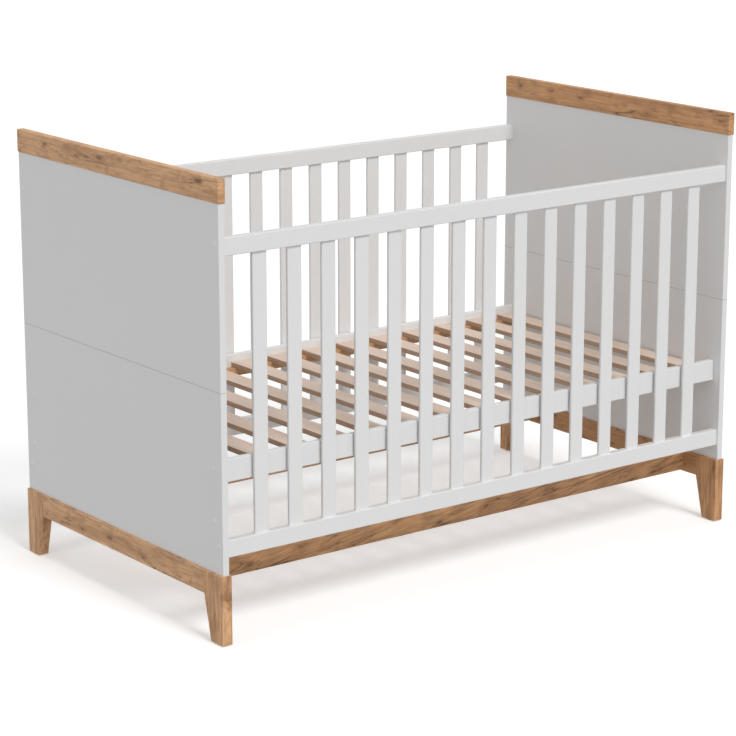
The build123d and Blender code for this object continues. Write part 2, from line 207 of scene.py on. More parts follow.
# %% [markdown]
# ## A fine skin for white surfaces
# White board is covered with a thin foil, and the bars are sprayed with lacquer. Neither is quite
# smooth: foil shows the flour of the chip board under it, and lacquer dries with a soft ripple. Such
# marks are far too fine to model. They are a noise of a millimetre or less that only tilts the
# surface, with a tone that drifts by a percent or two over a hand's width. One group serves both,
# because only its scale and depth differ.

# %% Group: white skin
FLOUR, FLOUR_SHARE = (2600.0, 2600.0, 2600.0), 0.35
DRIFT_SCALE = 5.0
SATIN, LESS_SATIN = 0.40, 0.16

skin, skin_in, skin_out = new_group("white_skin", Tone=(0.8, 0.8, 0.8, 1.0), Ripple=700.0, Drift=0.02)
ripple = cloudy(skin, skin_in["Place"], skin_in["Ripple"], detail=2.0, roughness=0.55)
pimples = drawn(skin, skin_in["Place"], FLOUR, detail=1.0)
drift = cloudy(skin, skin_in["Place"], DRIFT_SCALE, detail=3.0, roughness=0.6)
level = plus(skin, 1.0, times(skin, minus(skin, drift, 0.5), skin_in["Drift"]))
shade = put(skin, "ShaderNodeCombineColor", {0: level, 1: level, 2: level}).outputs[0]
fill(
    skin,
    skin_out,
    {
        "Color": blended(skin, 1.0, skin_in["Tone"], shade, "MULTIPLY"),
        "Height": plus(skin, ripple, times(skin, pimples, FLOUR_SHARE)),
        "Roughness": plus(skin, SATIN, times(skin, ripple, LESS_SATIN)),
    },
)
print("group", skin.name, "with", len(skin.nodes), "nodes")

# %% [markdown]
# ## Oak, first step: knots
# The strips, legs, aprons and stretchers show rustic oak: a tan ground with long fibres, a mottled
# figure, open pores, small dark knots and black drying cracks. A photograph of a board would do, but
# it would repeat on every piece and stop at the edges. Here each board is cut from a block of wood
# instead, so its pattern runs on round the corners. In the group, X runs along the grain, Y through
# the board and Z across it. A branch goes right through a board, so the knots are the cells of a
# flat Voronoi pattern over X and Z. Each cell has a random colour, which decides if it holds a knot
# and how big. Boards come in pairs on the two sides of the bed, and a shift by the sign of Y keeps
# the two from matching.

# %% Group: oak, knots
OAK_LIGHT = (0.82, 0.49, 0.257, 1.0)
OAK_DARK = (0.36, 0.163, 0.07, 1.0)
PAIR_SHIFT = 0.41  # metres
KNOT_CELLS, KNOT_SCATTER = (8.0, 20.0, 0.0), 0.6  # cells in a metre, along and across
KNOT_LUCK = (0.36, 0.44)
KNOT_SMALLEST, KNOT_BIGGER = 0.03, 0.07
RAGGED_RUN, RAGGED = (90.0, 60.0, 160.0), 0.06
CORE_EDGE, HALO_EDGE = (1.2, 0.5), (0.26, 0.02)

oak, oak_in, oak_out = new_group("rustic_oak", Light=OAK_LIGHT, Dark=OAK_DARK, Cracks=1.0, Streaks=1.0)
grain = oak_in["Place"]
along, through, across = axes_of(oak, grain)
own_board = plus(oak, along, times(oak, sums(oak, "SIGN", through), PAIR_SHIFT))
face = put(oak, "ShaderNodeCombineXYZ", {0: own_board, 1: across}).outputs[0]
cells = put(
    oak,
    "ShaderNodeTexVoronoi",
    {"Vector": stretched(oak, face, KNOT_CELLS), "Scale": 1.0, "Randomness": KNOT_SCATTER},
    voronoi_dimensions="2D",
).outputs
luck = put(oak, "ShaderNodeSeparateColor", {0: cells["Color"]}).outputs
knot_here = between(oak, luck[0], *KNOT_LUCK)
ragged = minus(oak, drawn(oak, grain, RAGGED_RUN, detail=2.0), 0.5)
knot_edge = plus(oak, cells["Distance"], times(oak, ragged, RAGGED))
knot_size = plus(oak, KNOT_SMALLEST, times(oak, luck[1], KNOT_BIGGER))
in_core = between(oak, sums(oak, "DIVIDE", knot_edge, knot_size), *CORE_EDGE)
knot_core = times(oak, in_core, knot_here)
knot_halo = times(oak, between(oak, knot_edge, *HALO_EDGE), knot_here)
print("oak knots:", len(oak.nodes), "nodes so far")

# %% [markdown]
# ## Oak, second step: rings, figure and pores
# Growth rings show on a board as fine lines. A Wave texture could draw them, but real ones sway with
# the trunk and bend round a knot. So they are a sine of the place across the board, and a slow noise
# and the knots' halos are added to that place first. All other marks are noise at different
# lengths, cut at two levels: broad heartwood, a mottled figure, streaks, dark lines, open pores and
# a few pale flecks. The fibres stay a plain noise, since the bump and the gloss use them too.

# %% Group: oak, rings, figure and pores
RINGS_ACROSS, RINGS_THROUGH = 62.0, 30.0  # in a metre
RING_SWAY, KNOT_PUSH = 7.5, 1.4


def marks(run, low, high, **noise):
    """A mask that goes from 0 to 1 as a drawn-out noise goes from low to high."""
    return between(oak, drawn(oak, grain, run, **noise), low, high)


sway = drawn(oak, grain, (2.3, 5.0, 9.0), detail=2.0)
rings = plus(oak, times(oak, across, RINGS_ACROSS), times(oak, through, RINGS_THROUGH))
rings = plus(oak, rings, times(oak, sway, RING_SWAY))
rings = plus(oak, rings, times(oak, knot_halo, KNOT_PUSH))
ring_wave = sums(oak, "SINE", times(oak, rings, 2.0 * np.pi))
ring_line = between(oak, ring_wave, 0.1, 1.0)

heart = marks((1.6, 6.0, 16.0), 0.40, 0.68, detail=3.0, roughness=0.55, distortion=0.3)
figure = marks((17.0, 30.0, 48.0), 0.45, 0.68, detail=4.0, roughness=0.65, distortion=0.8)
streaks = marks((5.0, 60.0, 130.0), 0.47, 0.64, detail=3.0, roughness=0.6, distortion=0.3)
lines = marks((7.0, 150.0, 250.0), 0.52, 0.66, detail=3.0, roughness=0.6, distortion=0.2)
pores = marks((42.0, 1100.0, 1100.0), 0.60, 0.72, detail=1.0)
flecks = marks((26.0, 90.0, 150.0), 0.60, 0.72, detail=2.0)
fibres = drawn(oak, grain, (9.0, 330.0, 330.0), detail=4.0, roughness=0.62)
print("oak figure:", len(oak.nodes), "nodes so far")

# %% [markdown]
# ## Oak, third step: drying cracks
# When oak dries too fast it splits along the grain, in short black lines with a stained edge. They
# could be painted one by one, but then every board needs its own. A noise passes its middle value
# along thin winding lines, and drawn out along the grain these look just like splits. A second noise
# picks the places where they show, and the group's Cracks input makes more or fewer of those places.

# %% Group: oak, cracks
EDGE_WIDTHS, CORE_WIDTHS = 4.0, 0.2
EDGE_STAIN, SHORT_STAIN = 0.3, 0.8
MORE_PLACES, PLACE_FADE = 0.12, 0.08


def split(run, width, where, low):
    """Cracks where the noise over run is within a width of its middle value, with a stained edge of
    four widths, in places where the noise over where passes low."""
    off_middle = minus(oak, drawn(oak, grain, run, detail=2.0, roughness=0.6, distortion=0.5), 0.5)
    line = sums(oak, "ABSOLUTE", off_middle)
    more = times(oak, minus(oak, oak_in["Cracks"], 1.0), MORE_PLACES)
    chance = plus(oak, drawn(oak, grain, where, detail=1.0), more)
    edge = times(oak, between(oak, line, EDGE_WIDTHS * width, width), EDGE_STAIN)
    core = between(oak, line, width, CORE_WIDTHS * width)
    picked = between(oak, chance, low, low + PLACE_FADE)
    return times(oak, sums(oak, "MAXIMUM", core, edge), picked)


long_cracks = split(run=(2.4, 9.0, 26.0), width=0.012, where=(3.4, 5.0, 12.0), low=0.54)
short_cracks = split(run=(9.0, 30.0, 80.0), width=0.020, where=(10.0, 20.0, 34.0), low=0.59)
crack = sums(oak, "MAXIMUM", long_cracks, times(oak, short_cracks, SHORT_STAIN))
print("oak cracks:", len(oak.nodes), "nodes so far")

# %% [markdown]
# ## Oak, last step: from masks to colour
# A finisher stains a board in thin coats, and the group does the same. It starts from the light wood
# and goes through the masks from broad heartwood to single cracks. Each coat is a mask, a strength
# and a colour, and turns the tone towards that colour. All masks could be added up into one, but
# then a crack over a pale fleck would come out half dark. In coats, the cracks lie on top.

# %% Group: oak, colour
LINE_BROWN = (0.23, 0.10, 0.043, 1.0)
FLECK_PALE = (0.80, 0.53, 0.31, 1.0)
PORE_BROWN = (0.22, 0.115, 0.055, 1.0)
HALO_BROWN = (0.24, 0.10, 0.042, 1.0)
KNOT_BROWN = (0.15, 0.06, 0.026, 1.0)
CRACK_BLACK = (0.11, 0.045, 0.02, 1.0)
HALO_LEAST, HALO_IN_FIGURE = 0.25, 0.45
FIBRE_HEIGHT, PORE_DEPTH = 0.4, 0.35
OAK_ROUGH, FIBRE_ROUGH = 0.52, 0.16


def coated(tree, tone, coats):
    """The tone after all coats: each turns it towards its colour by its mask times its strength."""
    for mask, strength, colour in coats:
        tone = blended(tree, times(tree, mask, strength), tone, colour)
    return tone


dark_fibres = between(oak, fibres, 0.42, 0.70)
halo_strength = plus(oak, HALO_LEAST, times(oak, figure, HALO_IN_FIGURE))
coats = [
    (heart, 0.42, oak_in["Dark"]),
    (figure, 0.55, oak_in["Dark"]),
    (times(oak, streaks, 0.55), oak_in["Streaks"], oak_in["Dark"]),
    (times(oak, lines, 0.55), oak_in["Streaks"], LINE_BROWN),
    (ring_line, 0.20, oak_in["Dark"]),
    (dark_fibres, 0.36, oak_in["Dark"]),
    (flecks, 0.25, FLECK_PALE),
    (pores, 0.30, PORE_BROWN),
    (knot_halo, halo_strength, HALO_BROWN),
    (knot_core, 0.65, KNOT_BROWN),
    (crack, 0.85, CRACK_BLACK),
]
hollow = plus(oak, times(oak, pores, PORE_DEPTH), crack)
fill(
    oak,
    oak_out,
    {
        "Color": coated(oak, oak_in["Light"], coats),
        "Height": minus(oak, times(oak, fibres, FIBRE_HEIGHT), hollow),
        "Roughness": plus(oak, OAK_ROUGH, times(oak, fibres, FIBRE_ROUGH)),
    },
)
print("group", oak.name, "with", len(oak.nodes), "nodes and", len(coats), "coats")

# %% [markdown]
# ## Softwood
# The slats and their ledgers are planed softwood, never varnished. The slats are pale and a little
# pink, with faint growth lines along their length and here and there a small red knot. The ledgers
# are cut from redder heartwood. The oak group could be paled for this, but softwood has no pores and
# no cracks, and its year rings are sharp on one side and soft on the other. So it gets a small group
# of its own, where a year ring is the fraction left over after counting whole rings.

# %% Group: softwood
YEARS_THROUGH, YEARS_ACROSS, YEAR_BOW = 120.0, 90.0, 6.0  # rings in a metre, and rings of sway
RED_KNOT_CELLS, RED_KNOT_EDGE, RED_KNOT_LUCK = (3.0, 9.5, 9.5), (0.13, 0.05), (0.5, 0.6)
RED_KNOT = (0.28, 0.13, 0.07, 1.0)
YEAR_HEIGHT = 0.5
PLANED_ROUGH, PLANED_FIBRE_ROUGH = 0.55, 0.15

pine, pine_in, pine_out = new_group(
    "planed_softwood",
    Light=(0.72, 0.56, 0.45, 1.0),
    Dark=(0.56, 0.39, 0.28, 1.0),
    Knots=0.5,
)
grain = pine_in["Place"]
_, through, across = axes_of(pine, grain)
bow = drawn(pine, grain, (1.6, 14.0, 14.0), detail=2.0)
year = plus(pine, times(pine, through, YEARS_THROUGH), times(pine, across, YEARS_ACROSS))
year = plus(pine, year, times(pine, bow, YEAR_BOW))
late = between(pine, sums(pine, "FRACT", year), 0.35, 0.95)
fibres = drawn(pine, grain, (7.0, 420.0, 420.0), detail=3.0, roughness=0.6)
board = drawn(pine, grain, (0.6, 5.5, 5.5), detail=1.0)
cells = put(
    pine,
    "ShaderNodeTexVoronoi",
    {"Vector": stretched(pine, grain, RED_KNOT_CELLS), "Scale": 1.0, "Randomness": 1.0},
    feature="F1",
).outputs
luck = put(pine, "ShaderNodeSeparateColor", {0: cells["Color"]}).outputs
in_knot = between(pine, cells["Distance"], *RED_KNOT_EDGE)
knot = times(pine, in_knot, between(pine, luck[1], *RED_KNOT_LUCK))
coats = [
    (late, 0.36, pine_in["Dark"]),
    (between(pine, fibres, 0.45, 0.75), 0.40, pine_in["Dark"]),
    (between(pine, board, 0.35, 0.75), 0.35, pine_in["Dark"]),
    (knot, pine_in["Knots"], RED_KNOT),
]
fill(
    pine,
    pine_out,
    {
        "Color": coated(pine, pine_in["Light"], coats),
        "Height": plus(pine, times(pine, late, YEAR_HEIGHT), fibres),
        "Roughness": plus(pine, PLANED_ROUGH, times(pine, fibres, PLANED_FIBRE_ROUGH)),
    },
)
print("group", pine.name, "with", len(pine.nodes), "nodes and", len(coats), "coats")

# %% [markdown]
# ## From a group to a material
# A group only says what a surface looks like at a place. A material asks it, and hands the answer to
# a shader. The place is the point's Object coordinates: they stay with the piece when it moves, so
# the grain of a slat rides along when the base is lifted. Fine relief could be real geometry, but a
# bump node gives the same shading for far fewer faces.


# %% Helpers for materials
def new_material(name):
    """A material with a bare Principled shader. Returns it with its tree and its shader."""
    material = bpy.data.materials.new(name)
    material.use_nodes = True
    return material, material.node_tree, material.node_tree.nodes["Principled BSDF"]


def place_of(tree, turn=(0.0, 0.0, 0.0)):
    """The point's own place on the crib in metres, turned so that the grain runs along X."""
    here = put(tree, "ShaderNodeTexCoord").outputs["Object"]
    return put(tree, "ShaderNodeMapping", {"Vector": here, "Rotation": turn}).outputs[0]


def raised(tree, height, depth, strength):
    """A bump of a real depth in metres, for a shader's Normal."""
    sockets = {"Height": height, "Distance": depth, "Strength": strength}
    return put(tree, "ShaderNodeBump", sockets).outputs[0]


print("material helpers ready")

# %% [markdown]
# ## White board and white lacquer
# The end walls are chip board in a matt white foil, and the rails and bars are sprayed in a satin
# white. The foil is a touch greyer. Both use the skin group with their own tone, ripple and depth.
# Each end wall is two boards, one above the other, and their joint shows as a fine grey line. The
# solids meet without a gap, so the material draws that line at the joint's height.

# %% Materials: white
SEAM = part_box("left_lower_panel")[1].z
SEAM_EDGE = (0.0006, 0.0003)  # metres from the seam
SEAM_LINE_GREY = (0.40, 0.39, 0.38, 1.0)
FOIL_WHITE = (0.79, 0.79, 0.79, 1.0)
LACQUER_WHITE = (0.80, 0.80, 0.797, 1.0)
WHITE_RELIEF = 0.6


def white_finish(name, tone, ripple, depth, seam=None):
    """A white surface from the skin group, with a bump of the given depth in metres. Within half a
    millimetre of a seam's height, the colour turns to a dark grey, a fine line along the seam."""
    material, tree, shader = new_material(name)
    here = place_of(tree)
    sockets = {"Place": here, "Tone": tone, "Ripple": ripple}
    look = put(tree, "ShaderNodeGroup", sockets, node_tree=skin).outputs
    colour = look["Color"]
    if seam is not None:
        away = sums(tree, "ABSOLUTE", minus(tree, axes_of(tree, here)[2], seam))
        colour = blended(tree, between(tree, away, *SEAM_EDGE), colour, SEAM_LINE_GREY)
    bump = raised(tree, look["Height"], depth, WHITE_RELIEF)
    fill(tree, shader, {"Base Color": colour, "Roughness": look["Roughness"], "Normal": bump})
    return material


white_foil = white_finish("white_foil", FOIL_WHITE, ripple=900.0, depth=0.00004, seam=SEAM)
white_lacquer = white_finish("white_lacquer", LACQUER_WHITE, ripple=450.0, depth=0.00005)
cap_plastic = white_finish("cap_plastic", FOIL_WHITE, ripple=1600.0, depth=0.00002)
print("white finishes:", white_foil.name, white_lacquer.name, cap_plastic.name)

# %% [markdown]
# ## Oak pieces and their grain
# A maker cuts each piece so that its grain runs along its length: up the legs, across under the end
# walls, and along the bed in the stretchers. The group draws its grain along X. The pieces stay
# where they are, so each direction gets a material of its own, whose Mapping node turns the place
# before the group reads it. The stretchers' grain runs a little off their edges, so it is turned by
# a few degrees more. The right end and the stretchers get a redder, darker oak than the left end:
# partly a redder tone of their own, partly painted shade, since these pieces stand in shadow.

# %% Materials: oak
ALONG_BED = (0.0, 0.0, 0.0)
ALONG_SLANTED = (0.0, np.radians(9.0), 0.0)
ACROSS_BED = (0.0, 0.0, np.pi / 2)
UPRIGHT = (np.pi / 2, 0.0, np.pi / 2)
# A redder, darker oak: partly the tone of other boards, partly painted shade for the stretchers and
# the right end, which stand in shadow.
OAK_REDDER_AND_SHADED = (0.73, 0.40, 0.185, 1.0)
GRAIN_DEPTH, GRAIN_RELIEF = 0.0002, 0.7
# For a colour darkened between two heights: the fade, and the darker tint it is multiplied by.
SIDE_FADE, SIDE_DARKENING = 0.001, (0.66, 0.56, 0.47, 1.0)


def wood_finish(name, group, turn, light, dark, darker_between=None, **extra):
    """Wood from a grain group, turned so that its grain lies along the piece. Between two heights,
    where given, the colour is made darker."""
    material, tree, shader = new_material(name)
    sockets = {"Place": place_of(tree, turn), "Light": light, "Dark": dark, **extra}
    look = put(tree, "ShaderNodeGroup", sockets, node_tree=group).outputs
    colour = look["Color"]
    if darker_between is not None:
        bottom, top = darker_between
        height = axes_of(tree, place_of(tree))[2]
        above = between(tree, height, bottom, bottom + SIDE_FADE)
        below = between(tree, height, top, top - SIDE_FADE)
        colour = blended(tree, times(tree, above, below), colour, SIDE_DARKENING, "MULTIPLY")
    bump = raised(tree, look["Height"], GRAIN_DEPTH, GRAIN_RELIEF)
    fill(tree, shader, {"Base Color": colour, "Roughness": look["Roughness"], "Normal": bump})
    return material


CUTS = [
    ("oak_along_redder_shaded", ALONG_SLANTED, OAK_REDDER_AND_SHADED, {"Cracks": 1.7, "Streaks": 0.5}),
    ("oak_across", ACROSS_BED, OAK_LIGHT, {"Streaks": 0.35}),
    ("oak_upright", UPRIGHT, OAK_LIGHT, {"Cracks": 0.4, "Streaks": 0.7}),
    ("oak_across_redder_shaded", ACROSS_BED, OAK_REDDER_AND_SHADED, {"Streaks": 0.35}),
    ("oak_upright_redder_shaded", UPRIGHT, OAK_REDDER_AND_SHADED, {"Cracks": 0.8, "Streaks": 1.3}),
]
oaks = {name: wood_finish(name, oak, turn, light, OAK_DARK, **own) for name, turn, light, own in CUTS}
print("oaks:", list(oaks))

# %% [markdown]
# ## Slats, ledgers and dowels
# The slats' narrow sides are coloured darker than their wide faces. Splitting each slat into faces
# with two materials would mean changing its mesh. All slats lie at one height, so the material can
# tell their sides by height alone: a point between the slats' underside and their top is on a side,
# and its colour is darkened.

# %% Materials: softwood
# The heights of the slats' narrow sides, whose colour is darkened.
SLAT_SIDE_HEIGHTS = (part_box("slat_01")[0].z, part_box("slat_01")[1].z)
SLAT_LIGHT, SLAT_DARK = (0.86, 0.70, 0.587, 1.0), (0.58, 0.42, 0.32, 1.0)
LEDGER_LIGHT, LEDGER_DARK = (0.62, 0.36, 0.185, 1.0), (0.40, 0.20, 0.095, 1.0)
DOWEL_LIGHT, DOWEL_DARK = (0.68, 0.52, 0.36, 1.0), (0.52, 0.36, 0.22, 1.0)
slat_wood = wood_finish("slat_wood", pine, ACROSS_BED, SLAT_LIGHT, SLAT_DARK, darker_between=SLAT_SIDE_HEIGHTS)
ledger_wood = wood_finish("ledger_wood", pine, ALONG_BED, LEDGER_LIGHT, LEDGER_DARK)
dowel_wood = wood_finish("dowel_wood", pine, ACROSS_BED, DOWEL_LIGHT, DOWEL_DARK)
print("softwoods:", slat_wood.name, ledger_wood.name, dowel_wood.name)

# %% [markdown]
# ## Steel and dark plastic
# Bolts, nuts, sleeves and screws are zinc plated: a bright metal with a cloudy bloom, a little
# yellow on the screws. The bolts are threaded. A thread could be a helix in the mesh, but these bolts
# sit inside the wood until the base is lifted, so a bump with ridges one millimetre apart is enough.
# The glides under the legs are moulded plastic, with a fine grain and a worn face.

# %% Materials: steel and glides
THREAD_SCALE = 314.16  # a ridge every millimetre
ZINC_DULL, ZINC_BRIGHT = (0.52, 0.53, 0.54, 1.0), (0.68, 0.68, 0.67, 1.0)
BRASSY_DULL, BRASSY_BRIGHT = (0.60, 0.55, 0.42, 1.0), (0.74, 0.69, 0.55, 1.0)
GLIDE_DARK, GLIDE_WORN = (0.055, 0.053, 0.05, 1.0), (0.12, 0.115, 0.11, 1.0)
ZINC_ROUGH, SCUFF_ROUGH = 0.28, 0.2
SCREW_ROUGH, BLOOM_ROUGH = 0.25, 0.2
GLIDE_ROUGH, WORN_ROUGH = 0.45, 0.25

zinc, tree, shader = new_material("zinc_steel")
here = place_of(tree)
bloom = cloudy(tree, here, 380.0, detail=3.0)
scuffs = cloudy(tree, here, 2400.0, detail=2.0)
wave = {"Vector": here, "Scale": THREAD_SCALE, "Distortion": 0.0}
ridges = put(tree, "ShaderNodeTexWave", wave, bands_direction="X").outputs["Fac"]
fill(
    tree,
    shader,
    {
        "Base Color": blended(tree, bloom, ZINC_DULL, ZINC_BRIGHT),
        "Roughness": plus(tree, ZINC_ROUGH, times(tree, scuffs, SCUFF_ROUGH)),
        "Normal": raised(tree, ridges, depth=0.0003, strength=0.8),
        "Metallic": 1.0,
    },
)

screw_steel, tree, shader = new_material("screw_steel")
bloom = cloudy(tree, place_of(tree), 500.0, detail=3.0)
fill(
    tree,
    shader,
    {
        "Base Color": blended(tree, bloom, BRASSY_DULL, BRASSY_BRIGHT),
        "Roughness": plus(tree, SCREW_ROUGH, times(tree, bloom, BLOOM_ROUGH)),
        "Metallic": 1.0,
    },
)

glide_plastic, tree, shader = new_material("glide_plastic")
here = place_of(tree)
grit = cloudy(tree, here, 1500.0, detail=2.0)
worn = cloudy(tree, here, 120.0, detail=3.0)
fill(
    tree,
    shader,
    {
        "Base Color": blended(tree, worn, GLIDE_DARK, GLIDE_WORN),
        "Roughness": plus(tree, GLIDE_ROUGH, times(tree, worn, WORN_ROUGH)),
        "Normal": raised(tree, grit, depth=0.00005, strength=0.7),
    },
)
print("metals and plastic:", zinc.name, screw_steel.name, glide_plastic.name)

# %% [markdown]
# ## Dressing the crib
# Every piece that came in still wears a plain colour. The crib's record says which material slot
# each piece has, so one table from slot to finish dresses nearly all of them. Oak is the exception:
# its slot is the same for a leg and a strip, but their grain isn't. So the oak pieces are named one
# by one, with the cut that fits each.

# %% Dress the crib's own pieces
# The right end and the stretchers take the redder oak, which carries painted shade.
GRAIN = {
    "left_top_strip": "oak_across",
    "left_apron": "oak_across",
    "left_front_leg": "oak_upright",
    "left_rear_leg": "oak_upright",
    "right_top_strip": "oak_across_redder_shaded",
    "right_apron": "oak_across_redder_shaded",
    "right_front_leg": "oak_upright_redder_shaded",
    "right_rear_leg": "oak_upright_redder_shaded",
    "front_stretcher": "oak_along_redder_shaded",
    "rear_stretcher": "oak_along_redder_shaded",
}
FINISH = {
    "white_board": white_foil,
    "white_lacquer": white_lacquer,
    "slat_wood": slat_wood,
    "ledger_wood": ledger_wood,
    "dowel_wood": dowel_wood,
    "cap_plastic": cap_plastic,
    "glide_plastic": glide_plastic,
    "steel": zinc,
}
slot_of = {part["node"]: part["material_slot"] for part in frame["record"]["subparts"]}
for name, piece in nodes.items():
    piece.data.materials.clear()
    piece.data.materials.append(oaks[GRAIN[name]] if name in GRAIN else FINISH[slot_of[name]])
print("dressed", len(nodes), "pieces,", len(GRAIN), "of them in oak")

# %% [markdown]
# ## Small turned pieces
# Caps and screws are round, and each is needed many times. Blender's Spin and Array could make them.
# Here a shape is an array of numbers instead: a profile is carried round its axis to give a grid of
# points, and the grid is added to each place where a copy belongs. That keeps all copies in one mesh,
# and any of them can be bent or cut by a formula.

# %% Helpers for turned pieces
SAME_POINT = 1e-6  # metres
HARD_EDGE = np.radians(40.0)


def turned(radii, heights, sides):
    """A profile of radii and heights, carried round its axis: each point at angle t is
    (r cos t, r sin t, h). Returns points and quads, with the ends left as they are."""
    angle = np.linspace(0.0, 2.0 * np.pi, sides, endpoint=False)
    ring = np.stack([np.cos(angle), np.sin(angle), np.zeros(sides)], 1)
    upward = np.array([0.0, 0.0, 1.0])
    points = radii[:, None, None] * ring[None] + heights[:, None, None] * upward
    row, step = np.meshgrid(np.arange(len(radii) - 1), np.arange(sides), indexing="ij")
    beside = (step + 1) % sides
    this_row, next_row = row * sides, (row + 1) * sides
    quads = np.stack([this_row + step, this_row + beside, next_row + beside, next_row + step], -1)
    return points.reshape(-1, 3), quads.reshape(-1, 4)


def copies(points, faces, places, axes):
    """The same points at many places: a point (a, b, c) goes to place + a u + b v + c w, where u, v
    and w are the three rows of that copy's axes. Faces are renumbered by the points before them."""
    moved = np.einsum("nk,mkj->mnj", points, axes) + places[:, None, :]
    renumbered = faces[None] + (np.arange(len(places)) * len(points))[:, None, None]
    return moved.reshape(-1, 3), renumbered.reshape(-1, faces.shape[1])


def new_piece(name, points, faces, material, body):
    """A mesh piece made from arrays. Points that meet at a pole are merged, faces are turned outwards
    and hard edges kept, and the piece is dressed and set to move with a body."""
    mesh = bpy.data.meshes.new(name)
    mesh.from_pydata(points.tolist(), [], faces.tolist())
    shell = bmesh.new()
    shell.from_mesh(mesh)
    bmesh.ops.remove_doubles(shell, verts=shell.verts, dist=SAME_POINT)
    bmesh.ops.recalc_face_normals(shell, faces=shell.faces)
    open_edges = sum(edge.is_boundary for edge in shell.edges)
    shell.to_mesh(mesh)
    shell.free()
    mesh.shade_smooth()
    mesh.set_sharp_from_angle(angle=HARD_EDGE)
    mesh.materials.append(material)
    piece = bpy.data.objects.new(name, mesh)
    bpy.context.scene.collection.objects.link(piece)
    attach(piece, body)
    print(name, "points", len(mesh.vertices), "faces", len(mesh.polygons), "open edges", open_edges)
    return piece


print("edges over", round(np.degrees(HARD_EDGE)), "degrees stay hard")

# %% [markdown]
# ## Cover caps
# A cap is a small moulded disc that lies on the board over a bolt head: nearly flat, a little higher
# in the middle, with a thin upright edge. A scaled sphere would stand out too far, so its profile is
# a parabola from the crown to the edge, carried round the cap's axis. There are four caps at each
# corner of the crib: one for each rail, and two for the heights at which the base can hang.

# %% Cover caps
CAP_RADIUS, CAP_HEIGHT, CAP_EDGE = 0.0069, 0.0014, 0.0004
CAP_RINGS, CAP_SIDES = 12, 28
RAIL_BOLT_DROP, BASE_BOLT_DROP, BASE_STEP = 0.013, 0.016, 0.112
ENDS = (-1, 1)
SIDES = (-1, 1)

dome_r = np.linspace(0.0, CAP_RADIUS, CAP_RINGS)
dome_z = CAP_HEIGHT - (CAP_HEIGHT - CAP_EDGE) * (dome_r / CAP_RADIUS) ** 2
cap_r = np.concatenate([dome_r, [CAP_RADIUS, 0.0]])
cap_z = np.concatenate([dome_z, [0.0, 0.0]])
cap_points, cap_faces = turned(cap_r, cap_z, CAP_SIDES)

rail_low, rail_high = np.array(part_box("front_top_rail"))
low_rail_high = np.array(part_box("front_bottom_rail"))[1]
base_low, base_high = np.array(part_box("front_base_rail"))
wall_high = np.array(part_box("right_upper_panel"))[1]
rail_y = (rail_low[1] + rail_high[1]) / 2
base_y = (base_low[1] + base_high[1]) / 2
rows = [
    (rail_y, rail_high[2] - RAIL_BOLT_DROP),
    (rail_y, low_rail_high[2] - RAIL_BOLT_DROP),
    (base_y, base_high[2] - BASE_BOLT_DROP),
    (base_y, base_high[2] - BASE_BOLT_DROP - BASE_STEP),
]
cap_places = np.array([(e * wall_high[0], s * y, z) for e in ENDS for s in SIDES for y, z in rows])
outward = np.sign(cap_places[:, 0])
cap_axes = np.array([((0, 1, 0), (0, 0, out), (out, 0, 0)) for out in outward], float)
all_points, all_faces = copies(cap_points, cap_faces, cap_places, cap_axes)
caps = new_piece("cover_caps", all_points, all_faces, cap_plastic, "crib_frame")
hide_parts("bolt_caps")

# %% [markdown]
# ## Screws
# The ledgers are screwed to the base rails from inside, and the slats to the ledgers from below, so
# that no screw shows from above. A countersunk head has a cross cut into it for the driver. Cutting
# a cross with a boolean makes ragged faces, so the top of the head is a grid over radius and angle
# instead, and its depth is a function of both: deep where the point lies in one of the two slots,
# and fading out towards the rim.

# %% Screws
HEAD_R, SHANK_R, POINT_LONG = 0.004, 0.002, 0.004
HEAD_RINGS, SCREW_SIDES, FLAT_SHARE = 10, 48, 0.7
SLOT_DEEP, SLOT_HALF, SLOT_SIDE = 0.0013, 0.0006, 0.0002
SLOT_END, SLOT_FADE = 0.0026, 0.0008
SLAT_SCREW, LEDGER_SCREW = 0.025, 0.030


def screw(length):
    """A countersunk screw with its head at the origin, turned from disc, cone, shank and point. The
    disc is lowered by the slot's depth where the point's x or y lies within a slot's half width,
    fading out towards the rim."""
    disc_r = np.linspace(0.0, FLAT_SHARE * HEAD_R, HEAD_RINGS)
    radii = np.concatenate([disc_r, [HEAD_R, SHANK_R, SHANK_R, 0.0]])
    below = [SHANK_R - HEAD_R, POINT_LONG - length, -length]
    heights = np.concatenate([np.zeros(HEAD_RINGS + 1), below])
    points, faces = turned(radii, heights, SCREW_SIDES)
    off_slot = np.min(np.abs(points[:, :2]), axis=1)
    from_axis = np.hypot(points[:, 0], points[:, 1])
    in_slot = np.clip((SLOT_HALF - off_slot) / SLOT_SIDE, 0.0, 1.0)
    off_rim = np.clip((SLOT_END - from_axis) / SLOT_FADE, 0.0, 1.0)
    points[:, 2] -= SLOT_DEEP * (in_slot * off_rim) * (points[:, 2] == 0.0)
    return points, faces


